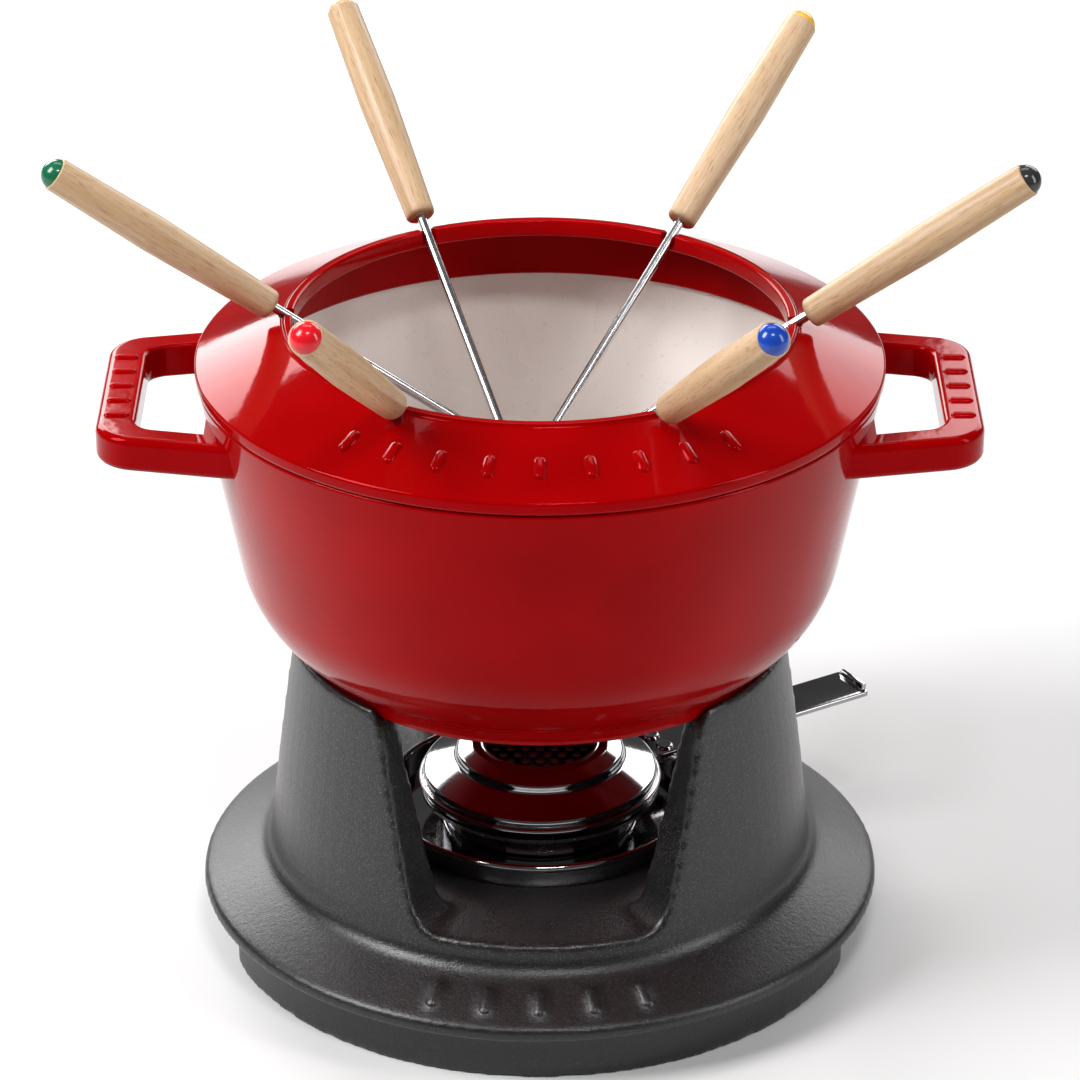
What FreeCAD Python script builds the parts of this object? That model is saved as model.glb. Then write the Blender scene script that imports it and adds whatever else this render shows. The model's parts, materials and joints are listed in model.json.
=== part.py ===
import FreeCAD, Part
import os
from math import atan2, cos, degrees, hypot, radians, sin, sqrt, tan

# Fondue set: a cast iron pot with two loop handles stands on a three-legged cast iron
# stand, a splash ring on the pot's rim holds six forks, and a burner stands below.
# Millimetres, +Z up, the table at Z = 0 and the pot's axis on the Z axis.
# The handles point along X and the widest view of the stand is from -Y.

Vec = FreeCAD.Vector

# ---- stand -------------------------------------------------------------------
foot_radius = 100.2
foot_grip_half_width = 94.0       # the foot is cut flat at both sides for fingers
foot_grip_corner = 12.0
foot_height = 15.2
foot_hollow_radius = 88.0
foot_hollow_step = 22.0           # height where the hollow under the stand narrows
foot_hollow_shoulder = 12.0       # and how much its radius shrinks above that
foot_hollow_round = 3.5
flange_radius = 106.1
flange_top = 19.6                 # top of the flange's edge
flange_edge_round = 1.4
floor_top = 36.0
floor_thickness = 5.0
tower_base_radius = 84.8
tower_base_height = 28.6          # where the tower's wall meets the sloping flange
tower_fillet = 6.0
tower_top_radius = 77.0
ledge_height = 98.7               # the pot's foot stands here
ledge_width = 5.6
leg_rim = 2.4                     # wall that stands outside the pot's foot
lip_height = 4.1                  # the rim of each leg above the ledge
leg_edge_round = 0.9
tower_inner_base_radius = 66.5
recess_depth = 1.4                # the burner's tray drops into this
recess_clearance = 0.6
window_azimuths = (-90.0, 30.0, 150.0)
window_base_angle = 26.5          # half the opening, seen from the axis, at the sill
window_top_angle = 39.0           # and at the top of the legs
window_sill_corner = 15.0
leg_top_corner = 13.0
window_cut_past = 11.2            # how far the cut starts outside the tower's base
window_cut_share = 0.45           # and where it ends, as a share of the inner radius
over_cut = 30.0                   # how far tools pass what they cut

# ---- pot ---------------------------------------------------------------------
seat_gap = 0.2                    # between parts that rest on each other
foot_clearance = 1.0              # pot's foot inside the legs' rims
pot_foot_height = 4.6
pot_foot_width = 6.0
pot_foot_recess = 2.6
pot_foot_round = 0.8
pot_crease_width = 1.2            # the belly starts this much outside the foot
pot_rim_radius = 103.5
pot_height = 90.1                 # from the foot to the rim
pot_rim_round = 1.0
pot_wall = 4.0
pot_floor = 4.7
pot_floor_round = 18.0
pot_wall_taper = 0.195            # how much the radius grows per height
pot_belly_radius = 42.0
pot_belly_slope = 53.5            # degrees from upright, where the belly meets the foot
handle_standoff = 28.8            # how far the handles reach past the rim
handle_root_sink = 18.0           # their straps start inside the rim by this much
handle_root_half_width = 45.5
handle_end_half_width = 36.0
handle_end_corner = 13.0
handle_bar = 12.0
handle_strap = 9.5
handle_thickness = 11.0
handle_drop = 6.4                 # top of the handle below the rim
handle_edge_round = 2.4
handle_hole_round = 1.7
handle_hole_corner = 7.0

# ---- splash ring -------------------------------------------------------------
ring_overhang = 0.5               # the ring's edge past the pot's rim
ring_edge = 4.0
ring_edge_round = 1.3
ring_mouth_radius = 74.2
ring_lip_width = 3.2
ring_lip_lean = 0.3               # the lip's side leans in by this much
ring_lip_round = 0.9
ring_height = 16.5                # from the pot's rim to the top of the lip
ring_lip_depth = 5.4
ring_plate = 3.6
ring_lip_step = 1.0               # the lip stands this much above the cone
skirt_depth = 10.0
skirt_wall = 3.2
skirt_clearance = 0.8
skirt_fillet = 2.0
ring_turn = -2.4                  # degrees that the ring is turned on the pot
notch_side_gap = 1.1              # beside a shaft in its notch
notch_clearance = 0.35            # below a shaft in its notch
notch_cut_length = 24.0

# ---- forks -------------------------------------------------------------------
fork_count = 6
fork_landing = 50.0               # the tines meet the pot's floor this far past the axis
fork_yaws = (-6.5, -6.0, -3.5, 13.0, 12.5, -3.0)   # each fork leans beside the axis
shaft_radius = 1.5
shaft_sink = 1.45                 # a shaft's axis below the top of the ring's lip
shaft_reach = 6.2                 # bare shaft between the notch and the handle
tine_length = 26.0
tine_radius = 0.85
tine_spread = 2.5                 # tine to axis
tine_point = 5.0
tine_tip_radius = 0.15
barb_radius = 1.3
barb_top_radius = 0.5
barb_length = 3.2
barb_shift = 0.4                  # each barb stands out on the inner side
barb_setback = 0.4                # towards the tip from the point's wide end
tine_floor_gap = 3.6
tang_length = 34.0                # shaft inside the handle
grip_length = 79.0
grip_end_radius = 4.6
grip_middle_radius = 5.75
grip_tip_radius = 5.15
grip_swell_share = 0.55           # where the grip is thickest
grip_lower_bulge = 0.22
grip_upper_bulge = 0.12
grip_end_round = 1.2
grip_tip_round = 0.5
button_dome = 3.7
button_stem_radius = 2.0
button_stem_length = 7.0

# ---- burner ------------------------------------------------------------------
tray_rim_radius = 49.6
tray_flare = 2.0                  # rim wider than the base
tray_height = 9.0
tray_sheet = 1.2
tray_bead = 1.25
sheet_bend = 1.5                  # outside radius of the bends in sheet
cup_radius = 30.5
cup_wall = 1.0
cup_height = 13.6
cup_flange_width = 6.4
cup_flange_height = 10.8          # underside of the flange above the cup's base
flange_sheet = 1.0
port_count = 12
port_radius = 1.6
port_offset = 3.4                 # the ring of ports outside the cup
regulator_overhang = 0.5          # past the cup's flange
regulator_sheet = 1.2
regulator_gap = 0.5               # below the cup's flange
regulator_fit = 0.08              # radial clearance on the cup
retainer_width = 2.4
retainer_thickness = 1.0
wadding_gap = 1.2
wadding_round = 1.8
gauze_sheet = 0.8
gauze_fit = 0.15
gauze_drop = 0.4                  # below the cup's edge
gauze_border = 1.2
gauze_hole_radius = 1.5
gauze_pitch = 4.6
hood_overhang = 1.1               # past the cup's flange
hood_bead = 1.0
hood_sheet = 1.0
hood_edge_roll = 1.3              # rolled edge past the band
hood_band_top = 4.3               # heights of the hood, from its seat
hood_cone_width = 10.4            # from the band to the collar
hood_cone_top = 8.2
hood_collar_top = 10.9
hood_shoulder_width = 4.9
hood_top = 13.0
hood_mouth_width = 3.4
hood_mouth_bead = 0.9
lever_azimuth = 32.0
lever_width = 16.5
lever_sheet = 1.6
lever_gap = 1.2                   # between the hood's edge and the lever
lever_end = 121.0                 # from the pot's axis
lever_tip_rise = 1.8
lever_corner = 2.0
tab_length = 9.8                  # the regulator's tab under the lever
tab_corner = 3.0
rivet_radius = 1.5
rivet_head_radius = 2.7
rivet_head = 0.9
rivet_head_round = 0.6
rivet_spacing = 8.0

# ---- raised ornament ---------------------------------------------------------
ring_bead_count = 9
ring_bead_pitch = 9.2             # degrees
ring_bead_radius = 2.3
ring_bead_length = 9.5
ring_bead_proud = 1.1
ring_bead_inset = 12.5            # their middle from the ring's edge
stand_bead_count = 5
stand_bead_pitch = 9.5            # degrees
stand_bead_radius = 3.0
stand_bead_length = 11.5
stand_bead_proud = 1.4
stand_bead_inset = 9.65           # their middle from the flange's edge
rib_count = 5
rib_pitch = 10.5
rib_radius = 1.7
rib_length = 8.0
rib_proud = 1.0

# ---- places worked out from the sizes above ----------------------------------
ring_radius = pot_rim_radius + ring_overhang
handle_reach = pot_rim_radius + handle_standoff
notch_radius = shaft_radius + notch_side_gap
tray_base_radius = tray_rim_radius - tray_flare
cup_flange_radius = cup_radius + cup_flange_width
port_circle = cup_radius + port_offset
regulator_radius = cup_flange_radius + regulator_overhang
hood_radius = cup_flange_radius + hood_overhang
hood_band_radius = hood_radius - hood_edge_roll
hood_collar_radius = hood_band_radius - hood_cone_width
hood_shoulder_radius = hood_collar_radius - hood_shoulder_width
hood_mouth_radius = hood_shoulder_radius - hood_mouth_width
lever_start = hood_radius + lever_gap
tab_reach = lever_start + tab_length
pot_base = ledge_height + seat_gap
pot_rim = pot_base + pot_height
pot_floor_top = pot_base + pot_foot_recess + pot_floor
ring_seat = pot_rim + seat_gap
lip_top = ring_seat + ring_height
ring_edge_top = ring_seat + ring_edge
handle_top = pot_rim - handle_drop
pot_foot_radius = tower_top_radius - leg_rim - foot_clearance
crease_radius = pot_foot_radius + pot_crease_width
crease_height = pot_base + pot_foot_height
handle_root = pot_rim_radius - handle_root_sink
button_radius = grip_tip_radius - grip_tip_round
tray_base = floor_top - recess_depth
cup_base = tray_base + tray_sheet
flange_under = cup_base + cup_flange_height
hood_seat = flange_under + flange_sheet
regulator_top = flange_under - regulator_gap
regulator_base = regulator_top - regulator_sheet
gauze_base = cup_base + cup_height - gauze_drop - gauze_sheet
mouth_middle = ring_mouth_radius + ring_lip_width / 2
shaft_in_notch = lip_top - shaft_sink      # height of a shaft's axis where it crosses the lip
tine_rest = pot_floor_top + tine_floor_gap
fork_slope = degrees(atan2(shaft_in_notch - tine_rest, mouth_middle + fork_landing))


def bend(before, here, after, radius):
    """Where a corner's rounding starts, its middle and where it ends."""
    if radius == 0:
        return here, None, here
    back = (before - here).normalize()
    ahead = (after - here).normalize()
    half = back.getAngle(ahead) / 2
    run = radius / tan(half)
    middle = (back + ahead).normalize() * (radius / sin(half) - radius)
    return here + back * run, here + middle, here + ahead * run


def rounded_wire(corners, to_space):
    """A closed wire through (x, y, radius) corners, each rounded by its own radius."""
    points = [Vec(x, y, 0) for x, y, radius in corners]
    count = len(points)
    bends = [bend(points[i - 1], points[i], points[(i + 1) % count], corners[i][2])
             for i in range(count)]
    edges = []
    for i, (start, middle, end) in enumerate(bends):
        if middle is not None:
            edges.append(Part.Arc(to_space(start), to_space(middle), to_space(end)).toShape())
        following = bends[(i + 1) % count][0]
        if end.distanceToPoint(following) > 1e-6:
            edges.append(Part.makeLine(to_space(end), to_space(following)))
    return Part.Wire(edges)


def on_section(point):
    return Vec(point.x, 0, point.y)


def on_level(point):
    return Vec(point.x, point.y, 0)


def turned(corners):
    """The solid of revolution of (radius, height, rounding) corners about Z."""
    face = Part.Face(rounded_wire(corners, on_section))
    return face.revolve(Vec(0, 0, 0), Vec(0, 0, 1), 360)


def slab(corners, base, height):
    """An upright plate of (x, y, rounding) corners."""
    face = Part.Face(rounded_wire(corners, on_level))
    face.translate(Vec(0, 0, base))
    return face.extrude(Vec(0, 0, height))


def spun(shape, azimuth):
    copy = shape.copy()
    copy.rotate(Vec(0, 0, 0), Vec(0, 0, 1), azimuth)
    return copy


def left_of(start, end):
    run, rise = end[0] - start[0], end[1] - start[1]
    return -rise / hypot(run, rise), run / hypot(run, rise)


def inset(line, depth):
    """A (radius, height) line moved to its left by depth, with mitred corners."""
    sides = [left_of(start, end) for start, end in zip(line, line[1:])]
    sides = [sides[0]] + sides + [sides[-1]]
    moved = []
    for (r, z), (ax, az), (bx, bz) in zip(line, sides, sides[1:]):
        share = depth / (1 + ax * bx + az * bz)
        moved.append((r + (ax + bx) * share, z + (az + bz) * share))
    return moved


def pressed(line, sheet):
    """A turned shell of sheet whose outside is the (radius, height) line."""
    corners = []
    for side, rounding in ((line, sheet_bend), (inset(line, sheet)[::-1], sheet_bend - sheet)):
        corners.append((*side[0], 0))
        corners += [(r, z, rounding) for r, z in side[1:-1]]
        corners.append((*side[-1], 0))
    return turned(corners)


def capsule(radius, length):
    """A round-ended bar along X, centred on the origin."""
    half = length / 2 - radius
    bar = Part.makeCylinder(radius, 2 * half, Vec(-half, 0, 0), Vec(1, 0, 0))
    ends = [Part.makeSphere(radius, Vec(side * half, 0, 0)) for side in (-1, 1)]
    return bar.fuse(ends)


def beads_on_cone(middle_r, middle_z, slope, count, pitch, radius, length, proud):
    """Bars sunk in a cone's surface in an arc about -Y; slope is how it falls outwards."""
    sink = radius - proud
    tilt = radians(slope)
    beads = []
    for i in range(count):
        bead = capsule(radius, length)
        bead.rotate(Vec(0, 0, 0), Vec(0, 1, 0), slope)
        bead.translate(Vec(middle_r - sink * sin(tilt), 0, middle_z - sink * cos(tilt)))
        beads.append(spun(bead, -90 + (i - (count - 1) / 2) * pitch))
    return beads


# ---- stand -------------------------------------------------------------------
def foot_disc():
    disc = Part.makeCylinder(foot_radius, foot_height)
    keep = Part.makeBox(2 * foot_grip_half_width, 2 * foot_radius, foot_height)
    keep.translate(Vec(-foot_grip_half_width, -foot_radius, 0))
    foot = disc.common(keep)
    corners = [edge for edge in foot.Edges if upright(edge)]
    return foot.makeFillet(foot_grip_corner, corners)


def upright(edge):
    box = edge.BoundBox
    return box.XLength < 0.01 and box.YLength < 0.01


def window_tool():
    """The opening between two legs, for the window that faces -Y."""
    far = tower_base_radius + window_cut_past
    near = tower_inner_base_radius * window_cut_share
    top = ledge_height + lip_height
    base = far * tan(radians(window_base_angle))
    head = far * tan(radians(window_top_angle))
    wide = head + over_cut
    over = top + over_cut
    corners = [
        (-base, floor_top, window_sill_corner),
        (-head, top, leg_top_corner),
        (-wide, top, 0),
        (-wide, over, 0),
        (wide, over, 0),
        (wide, top, 0),
        (head, top, leg_top_corner),
        (base, floor_top, window_sill_corner),
    ]
    outer = rounded_wire(corners, lambda p: Vec(p.x, -far, p.y))
    squeeze = FreeCAD.Matrix()
    squeeze.A11 = near / far
    inner = outer.transformGeometry(squeeze)
    inner.translate(Vec(0, far - near, 0))
    return Part.makeLoft([outer, inner], True, True)


def stand_body():
    """The flange and the tower with a solid floor, before the openings are cut."""
    lip_top_height = ledge_height + lip_height
    ledge_outer = tower_top_radius - leg_rim
    return turned([
        (0, 0, 0),
        (foot_hollow_radius, 0, 0),
        (foot_hollow_radius, foot_height, 0),
        (flange_radius, foot_height, flange_edge_round),
        (flange_radius, flange_top, flange_edge_round),
        (tower_base_radius, tower_base_height, tower_fillet),
        (tower_top_radius, lip_top_height, leg_edge_round),
        (ledge_outer, lip_top_height, leg_edge_round),
        (ledge_outer, ledge_height, 0),
        (ledge_outer - ledge_width, ledge_height, leg_edge_round),
        (tower_inner_base_radius, floor_top, 0),
        (0, floor_top, 0),
    ])


def foot_hollow():
    under = floor_top - floor_thickness
    return turned([
        (0, -over_cut, 0),
        (foot_hollow_radius, -over_cut, 0),
        (foot_hollow_radius, foot_hollow_step, foot_hollow_round),
        (foot_hollow_radius - foot_hollow_shoulder, under, foot_hollow_round),
        (0, under, 0),
    ])


def stand():
    body = stand_body().fuse(foot_disc()).cut(foot_hollow())
    for azimuth in window_azimuths:
        body = body.cut(spun(window_tool(), azimuth + 90))
    recess = Part.makeCylinder(tray_base_radius + recess_clearance, over_cut, Vec(0, 0, tray_base))
    body = body.cut(recess)
    fall = (tower_base_height - flange_top) / (flange_radius - tower_base_radius)
    beads = beads_on_cone(flange_radius - stand_bead_inset, flange_top + fall * stand_bead_inset,
                          degrees(atan2(fall, 1)), stand_bead_count, stand_bead_pitch,
                          stand_bead_radius, stand_bead_length, stand_bead_proud)
    return body.fuse(beads).removeSplitter()


# ---- pot ---------------------------------------------------------------------
def pot_outside_radius(height):
    return pot_rim_radius - pot_wall_taper * (pot_rim - height)


def belly_corner():
    """Where the belly's slope from the crease meets the line of the upper wall."""
    lean = radians(pot_belly_slope)
    gap = pot_outside_radius(crease_height) - crease_radius
    run = gap / (sin(lean) - pot_wall_taper * cos(lean))
    return crease_radius + run * sin(lean), crease_height + run * cos(lean)


def pot_outline():
    foot_inside = pot_foot_radius - pot_foot_width
    return [
        (0, pot_base + pot_foot_recess, 0),
        (foot_inside, pot_base + pot_foot_recess, pot_foot_round),
        (foot_inside, pot_base, pot_foot_round),
        (pot_foot_radius, pot_base, pot_foot_round),
        (crease_radius, crease_height, 0),
        (*belly_corner(), pot_belly_radius),
        (pot_rim_radius, pot_rim, pot_rim_round),
        (0, pot_rim, 0),
    ]


def pot_cavity():
    """The inside: the outside's belly and wall, moved in by the wall's thickness."""
    lean = radians(pot_belly_slope)
    over = pot_rim + over_cut
    outside = [(crease_radius, crease_height), belly_corner(), (pot_outside_radius(over), over)]
    inside = inset(outside, pot_wall)
    (corner_radius, corner_height), top = inside[1:]
    floor_radius = corner_radius - (corner_height - pot_floor_top) * tan(lean)
    return turned([
        (0, pot_floor_top, 0),
        (floor_radius, pot_floor_top, pot_floor_round),
        (corner_radius, corner_height, pot_belly_radius - pot_wall),
        (*top, 0),
        (0, top[1], 0),
    ])


def handle_plate(root, end, half_width, corner):
    """A tapering plate of the handle's thickness; half_width is its own at any reach."""
    return slab([
        (root, -half_width(root), 0),
        (end, -half_width(end), corner),
        (end, half_width(end), corner),
        (root, half_width(root), 0),
    ], handle_top - handle_thickness, handle_thickness)


def handle_outer_half_width(reach):
    share = (reach - handle_root) / (handle_reach - handle_root)
    return handle_root_half_width + (handle_end_half_width - handle_root_half_width) * share


def handle_inner_half_width(reach):
    return handle_outer_half_width(reach) - handle_strap


def handle_ribs():
    ribs = []
    for i in range(rib_count):
        rib = capsule(rib_radius, rib_length)
        along = (i - (rib_count - 1) / 2) * rib_pitch
        rib.translate(Vec(handle_reach - handle_bar / 2, along, handle_top - rib_radius + rib_proud))
        ribs.append(rib)
    return ribs


def loop_handle():
    """The handle on +X: a flat loop whose straps run into the pot's wall."""
    outer = handle_plate(handle_root, handle_reach, handle_outer_half_width, handle_end_corner)
    outer = outer.makeFillet(handle_edge_round, level_edges(outer, handle_root))
    hole_root = pot_rim_radius - pot_wall
    hole = handle_plate(hole_root, handle_reach - handle_bar, handle_inner_half_width,
                        handle_hole_corner)
    hole_edges = level_edges(hole, hole_root)
    loop = outer.cut(hole)
    rims = [edge for edge in loop.Edges if matches(edge, hole_edges)]
    loop = loop.makeFillet(handle_hole_round, rims)
    return loop.fuse(handle_ribs())


def level_edges(shape, root):
    """The edges of a plate's top and bottom that aren't at its root."""
    found = []
    for edge in shape.Edges:
        box = edge.BoundBox
        if box.ZLength < 1e-6 and box.XMax > root + 0.01:
            found.append(edge)
    return found


def matches(edge, others):
    middle = edge.CenterOfMass
    return any(middle.distanceToPoint(other.CenterOfMass) < 1e-4 for other in others)


def pot():
    body = turned(pot_outline())
    handle = loop_handle()
    body = body.fuse([handle, spun(handle, 180)])
    return body.cut(pot_cavity()).removeSplitter()


# ---- splash ring -------------------------------------------------------------
def ring_cone():
    """The cone's top line, from the lip's foot to the outer edge."""
    inner = (ring_mouth_radius + ring_lip_width, lip_top - ring_lip_step)
    outer = (ring_radius, ring_edge_top)
    return inner, outer


def notch_tool():
    """A slanting U that a shaft lies in, for the notch at azimuth 0."""
    long = notch_cut_length
    up = notch_radius - shaft_radius - notch_clearance
    trough = Part.makeCylinder(notch_radius, long, Vec(up, 0, -long / 2))
    mouth = Part.makeBox(3 * notch_radius, 2 * notch_radius, long)
    mouth.translate(Vec(up - 3 * notch_radius, -notch_radius, -long / 2))
    tool = trough.fuse(mouth)
    tool.rotate(Vec(0, 0, 0), Vec(0, 1, 0), 90 - fork_slope)
    tool.translate(Vec(mouth_middle, 0, shaft_in_notch))
    return tool


def ring_section(inner, outer, fall):
    """The ring's section; fall is how much the cone drops for each millimetre out."""
    skirt_outer = pot_rim_radius - pot_wall - skirt_clearance
    skirt_inner = skirt_outer - skirt_wall
    skirt_taper = skirt_depth * pot_wall_taper
    under_skirt = outer[1] + fall * (outer[0] - skirt_inner) - ring_plate * hypot(fall, 1)
    lip_outer = inner[0] - ring_lip_lean
    lip_bottom = lip_top - ring_lip_depth
    return [
        (ring_radius, ring_seat, ring_edge_round),
        (*outer, ring_edge_round),
        (*inner, skirt_fillet),
        (lip_outer, lip_top, ring_lip_round),
        (ring_mouth_radius, lip_top, ring_lip_round),
        (ring_mouth_radius, lip_bottom, ring_lip_round),
        (lip_outer, lip_bottom, ring_lip_round),
        (skirt_inner, under_skirt, skirt_fillet),
        (skirt_inner - skirt_taper, ring_seat - skirt_depth, ring_lip_round),
        (skirt_outer - skirt_taper, ring_seat - skirt_depth, ring_lip_round),
        (skirt_outer, ring_seat, 0),
    ]


def splash_ring():
    inner, outer = ring_cone()
    fall = (inner[1] - outer[1]) / (outer[0] - inner[0])
    body = turned(ring_section(inner, outer, fall))
    for i in range(fork_count):
        body = body.cut(spun(notch_tool(), ring_turn + i * 360 / fork_count))
    beads = beads_on_cone(ring_radius - ring_bead_inset, outer[1] + fall * ring_bead_inset,
                          degrees(atan2(fall, 1)), ring_bead_count, ring_bead_pitch,
                          ring_bead_radius, ring_bead_length, ring_bead_proud)
    return body.fuse(beads).removeSplitter()


# ---- forks -------------------------------------------------------------------
def fork_placement(index):
    """Local Z runs up the shaft from the notch, local X is level."""
    azimuth = radians(ring_turn + index * 360 / fork_count)
    heading = azimuth + radians(fork_yaws[index])
    lift = radians(fork_slope)
    along = Vec(cos(heading) * cos(lift), sin(heading) * cos(lift), sin(lift))
    level = Vec(-sin(heading), cos(heading), 0)
    notch = Vec(mouth_middle * cos(azimuth), mouth_middle * sin(azimuth), shaft_in_notch)
    turn = FreeCAD.Rotation(level, along.cross(level), along, "ZXY")
    return FreeCAD.Placement(notch, turn)


def reach_to_floor():
    return (shaft_in_notch - tine_rest) / sin(radians(fork_slope))


def fork_tine(side, tip):
    """A pointed tine with a barb, from its tip up to the yoke."""
    foot = Vec(side * tine_spread, 0, tip + tine_point)
    barb_base = foot - Vec(side * barb_shift, 0, barb_setback)
    return [
        Part.makeCylinder(tine_radius, tine_length - tine_point, foot),
        Part.makeCone(tine_tip_radius, tine_radius, tine_point, foot - Vec(0, 0, tine_point)),
        Part.makeCone(barb_radius, barb_top_radius, barb_length, barb_base),
    ]


def fork_shaft():
    tip = -reach_to_floor()
    yoke_base = tip + tine_length
    rod_base = yoke_base + tine_spread - tine_radius / 2
    rod = Part.makeCylinder(shaft_radius, shaft_reach + tang_length - rod_base, Vec(0, 0, rod_base))
    yoke = Part.makeTorus(tine_spread, tine_radius, Vec(0, 0, yoke_base), Vec(0, 1, 0))
    half = 2 * tine_spread
    yoke = yoke.common(Part.makeBox(2 * half, 2 * half, half, Vec(-half, -half, yoke_base)))
    pieces = [yoke] + fork_tine(-1, tip) + fork_tine(1, tip)
    return rod.fuse(pieces).removeSplitter()


def arc(start, middle, end):
    """An arc through three (radius, height) points."""
    return Part.Arc(*[Vec(r, 0, z) for r, z in (start, middle, end)]).toShape()


def grip_outline():
    """The turned grip: a slow swell from the shaft's end to the button's end."""
    base = shaft_reach
    end = base + grip_length
    swell = base + grip_length * grip_swell_share
    quarter = 1 - sqrt(0.5)
    low, high = base + grip_end_round, end - grip_tip_round
    lower_middle = (grip_end_radius + grip_middle_radius) / 2 + grip_lower_bulge
    upper_middle = (grip_middle_radius + grip_tip_radius) / 2 + grip_upper_bulge
    low_quarter, high_quarter = quarter * grip_end_round, quarter * grip_tip_round
    edges = [
        Part.makeLine(Vec(0, 0, base), Vec(grip_end_radius - grip_end_round, 0, base)),
        arc((grip_end_radius - grip_end_round, base),
            (grip_end_radius - low_quarter, base + low_quarter), (grip_end_radius, low)),
        arc((grip_end_radius, low), (lower_middle, (low + swell) / 2), (grip_middle_radius, swell)),
        arc((grip_middle_radius, swell), (upper_middle, (swell + high) / 2), (grip_tip_radius, high)),
        arc((grip_tip_radius, high),
            (grip_tip_radius - high_quarter, end - high_quarter), (button_radius, end)),
        Part.makeLine(Vec(button_radius, 0, end), Vec(0, 0, end)),
        Part.makeLine(Vec(0, 0, end), Vec(0, 0, base)),
    ]
    return Part.Wire(edges)


def fork_handle():
    end = shaft_reach + grip_length
    wood = Part.Face(grip_outline()).revolve(Vec(0, 0, 0), Vec(0, 0, 1), 360)
    stem_hole = Part.makeCylinder(button_stem_radius, button_stem_length,
                                  Vec(0, 0, end - button_stem_length))
    tang_hole = Part.makeCylinder(shaft_radius, tang_length, Vec(0, 0, shaft_reach))
    return wood.cut(tang_hole).cut(stem_hole)


def fork_button():
    end = shaft_reach + grip_length
    ball = (button_radius ** 2 + button_dome ** 2) / (2 * button_dome)
    dome = Part.makeSphere(ball, Vec(0, 0, end + button_dome - ball))
    dome = dome.common(Part.makeCylinder(2 * ball, 2 * ball, Vec(0, 0, end)))
    stem = Part.makeCylinder(button_stem_radius, button_stem_length,
                             Vec(0, 0, end - button_stem_length))
    return dome.fuse(stem)


# ---- burner ------------------------------------------------------------------
def burner_tray():
    bead_radius = tray_rim_radius - tray_bead
    bead_height = tray_base + tray_height - tray_bead
    dish = pressed([(0, tray_base), (tray_base_radius, tray_base), (bead_radius, bead_height)],
                   tray_sheet)
    bead = Part.makeTorus(bead_radius, tray_bead, Vec(0, 0, bead_height))
    return dish.fuse(bead).removeSplitter()


def ports(thickness, base):
    holes = []
    for i in range(port_count):
        azimuth = radians(i * 360 / port_count)
        spot = Vec(port_circle * cos(azimuth), port_circle * sin(azimuth), base)
        holes.append(Part.makeCylinder(port_radius, thickness, spot))
    return Part.makeCompound(holes)


def burner_cup():
    top = cup_base + cup_height
    cup = pressed([(0, cup_base), (cup_radius, cup_base), (cup_radius, top)], cup_wall)
    flange = Part.makeCylinder(cup_flange_radius, flange_sheet, Vec(0, 0, flange_under))
    bore = Part.makeCylinder(cup_radius - cup_wall / 2, flange_sheet, Vec(0, 0, flange_under))
    return cup.fuse(flange.cut(bore)).cut(ports(flange_sheet, flange_under)).removeSplitter()


def burner_regulator():
    base = regulator_base
    disc = Part.makeCylinder(regulator_radius, regulator_sheet, Vec(0, 0, base))
    tab = slab([
        (0, -lever_width / 2, 0),
        (tab_reach, -lever_width / 2, tab_corner),
        (tab_reach, lever_width / 2, tab_corner),
        (0, lever_width / 2, 0),
    ], base, regulator_sheet)
    plate = disc.fuse(spun(tab, lever_azimuth))
    bore = Part.makeCylinder(cup_radius + regulator_fit, regulator_sheet, Vec(0, 0, base))
    plate = plate.cut(bore).cut(ports(regulator_sheet, base))
    return plate.cut(rivet_holes(base, regulator_sheet)).removeSplitter()


def burner_retainer():
    base = regulator_base - regulator_gap - retainer_thickness
    ring = Part.makeCylinder(cup_radius + retainer_width, retainer_thickness, Vec(0, 0, base))
    return ring.cut(Part.makeCylinder(cup_radius, retainer_thickness, Vec(0, 0, base)))


def burner_wadding():
    base = cup_base + cup_wall
    top = gauze_base - seat_gap
    radius = cup_radius - cup_wall - wadding_gap
    return turned([
        (0, base, 0),
        (radius, base, wadding_round),
        (radius, top, wadding_round),
        (0, top, 0),
    ])


def burner_gauze():
    radius = cup_radius - cup_wall - gauze_fit
    disc = Part.makeCylinder(radius, gauze_sheet, Vec(0, 0, gauze_base))
    rows = int(radius / gauze_pitch) + 1
    holes = []
    for i in range(-rows, rows + 1):
        for j in range(-rows, rows + 1):
            x = (i + j / 2) * gauze_pitch
            y = j * gauze_pitch * sqrt(3) / 2
            if hypot(x, y) < radius - gauze_hole_radius - gauze_border:
                holes.append(Part.makeCylinder(gauze_hole_radius, gauze_sheet, Vec(x, y, gauze_base)))
    return disc.cut(Part.makeCompound(holes))


def burner_hood():
    """A stepped cap of sheet: rolled edge, band, cone, collar and rolled mouth."""
    seat = hood_seat + seat_gap
    edge_height = seat + hood_bead
    shell = pressed([
        (hood_band_radius, edge_height),
        (hood_band_radius, seat + hood_band_top),
        (hood_collar_radius, seat + hood_cone_top),
        (hood_collar_radius, seat + hood_collar_top),
        (hood_shoulder_radius, seat + hood_top),
        (hood_mouth_radius, seat + hood_top),
    ], hood_sheet)
    edge = Part.makeTorus(hood_radius - hood_bead, hood_bead, Vec(0, 0, edge_height))
    mouth = Part.makeTorus(hood_mouth_radius, hood_mouth_bead,
                           Vec(0, 0, seat + hood_top - hood_sheet / 2))
    return shell.fuse([edge, mouth]).removeSplitter()


def rivet_spots():
    middle = (lever_start + tab_reach) / 2
    return [Vec(middle, side * rivet_spacing / 2, 0) for side in (-1, 1)]


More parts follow.
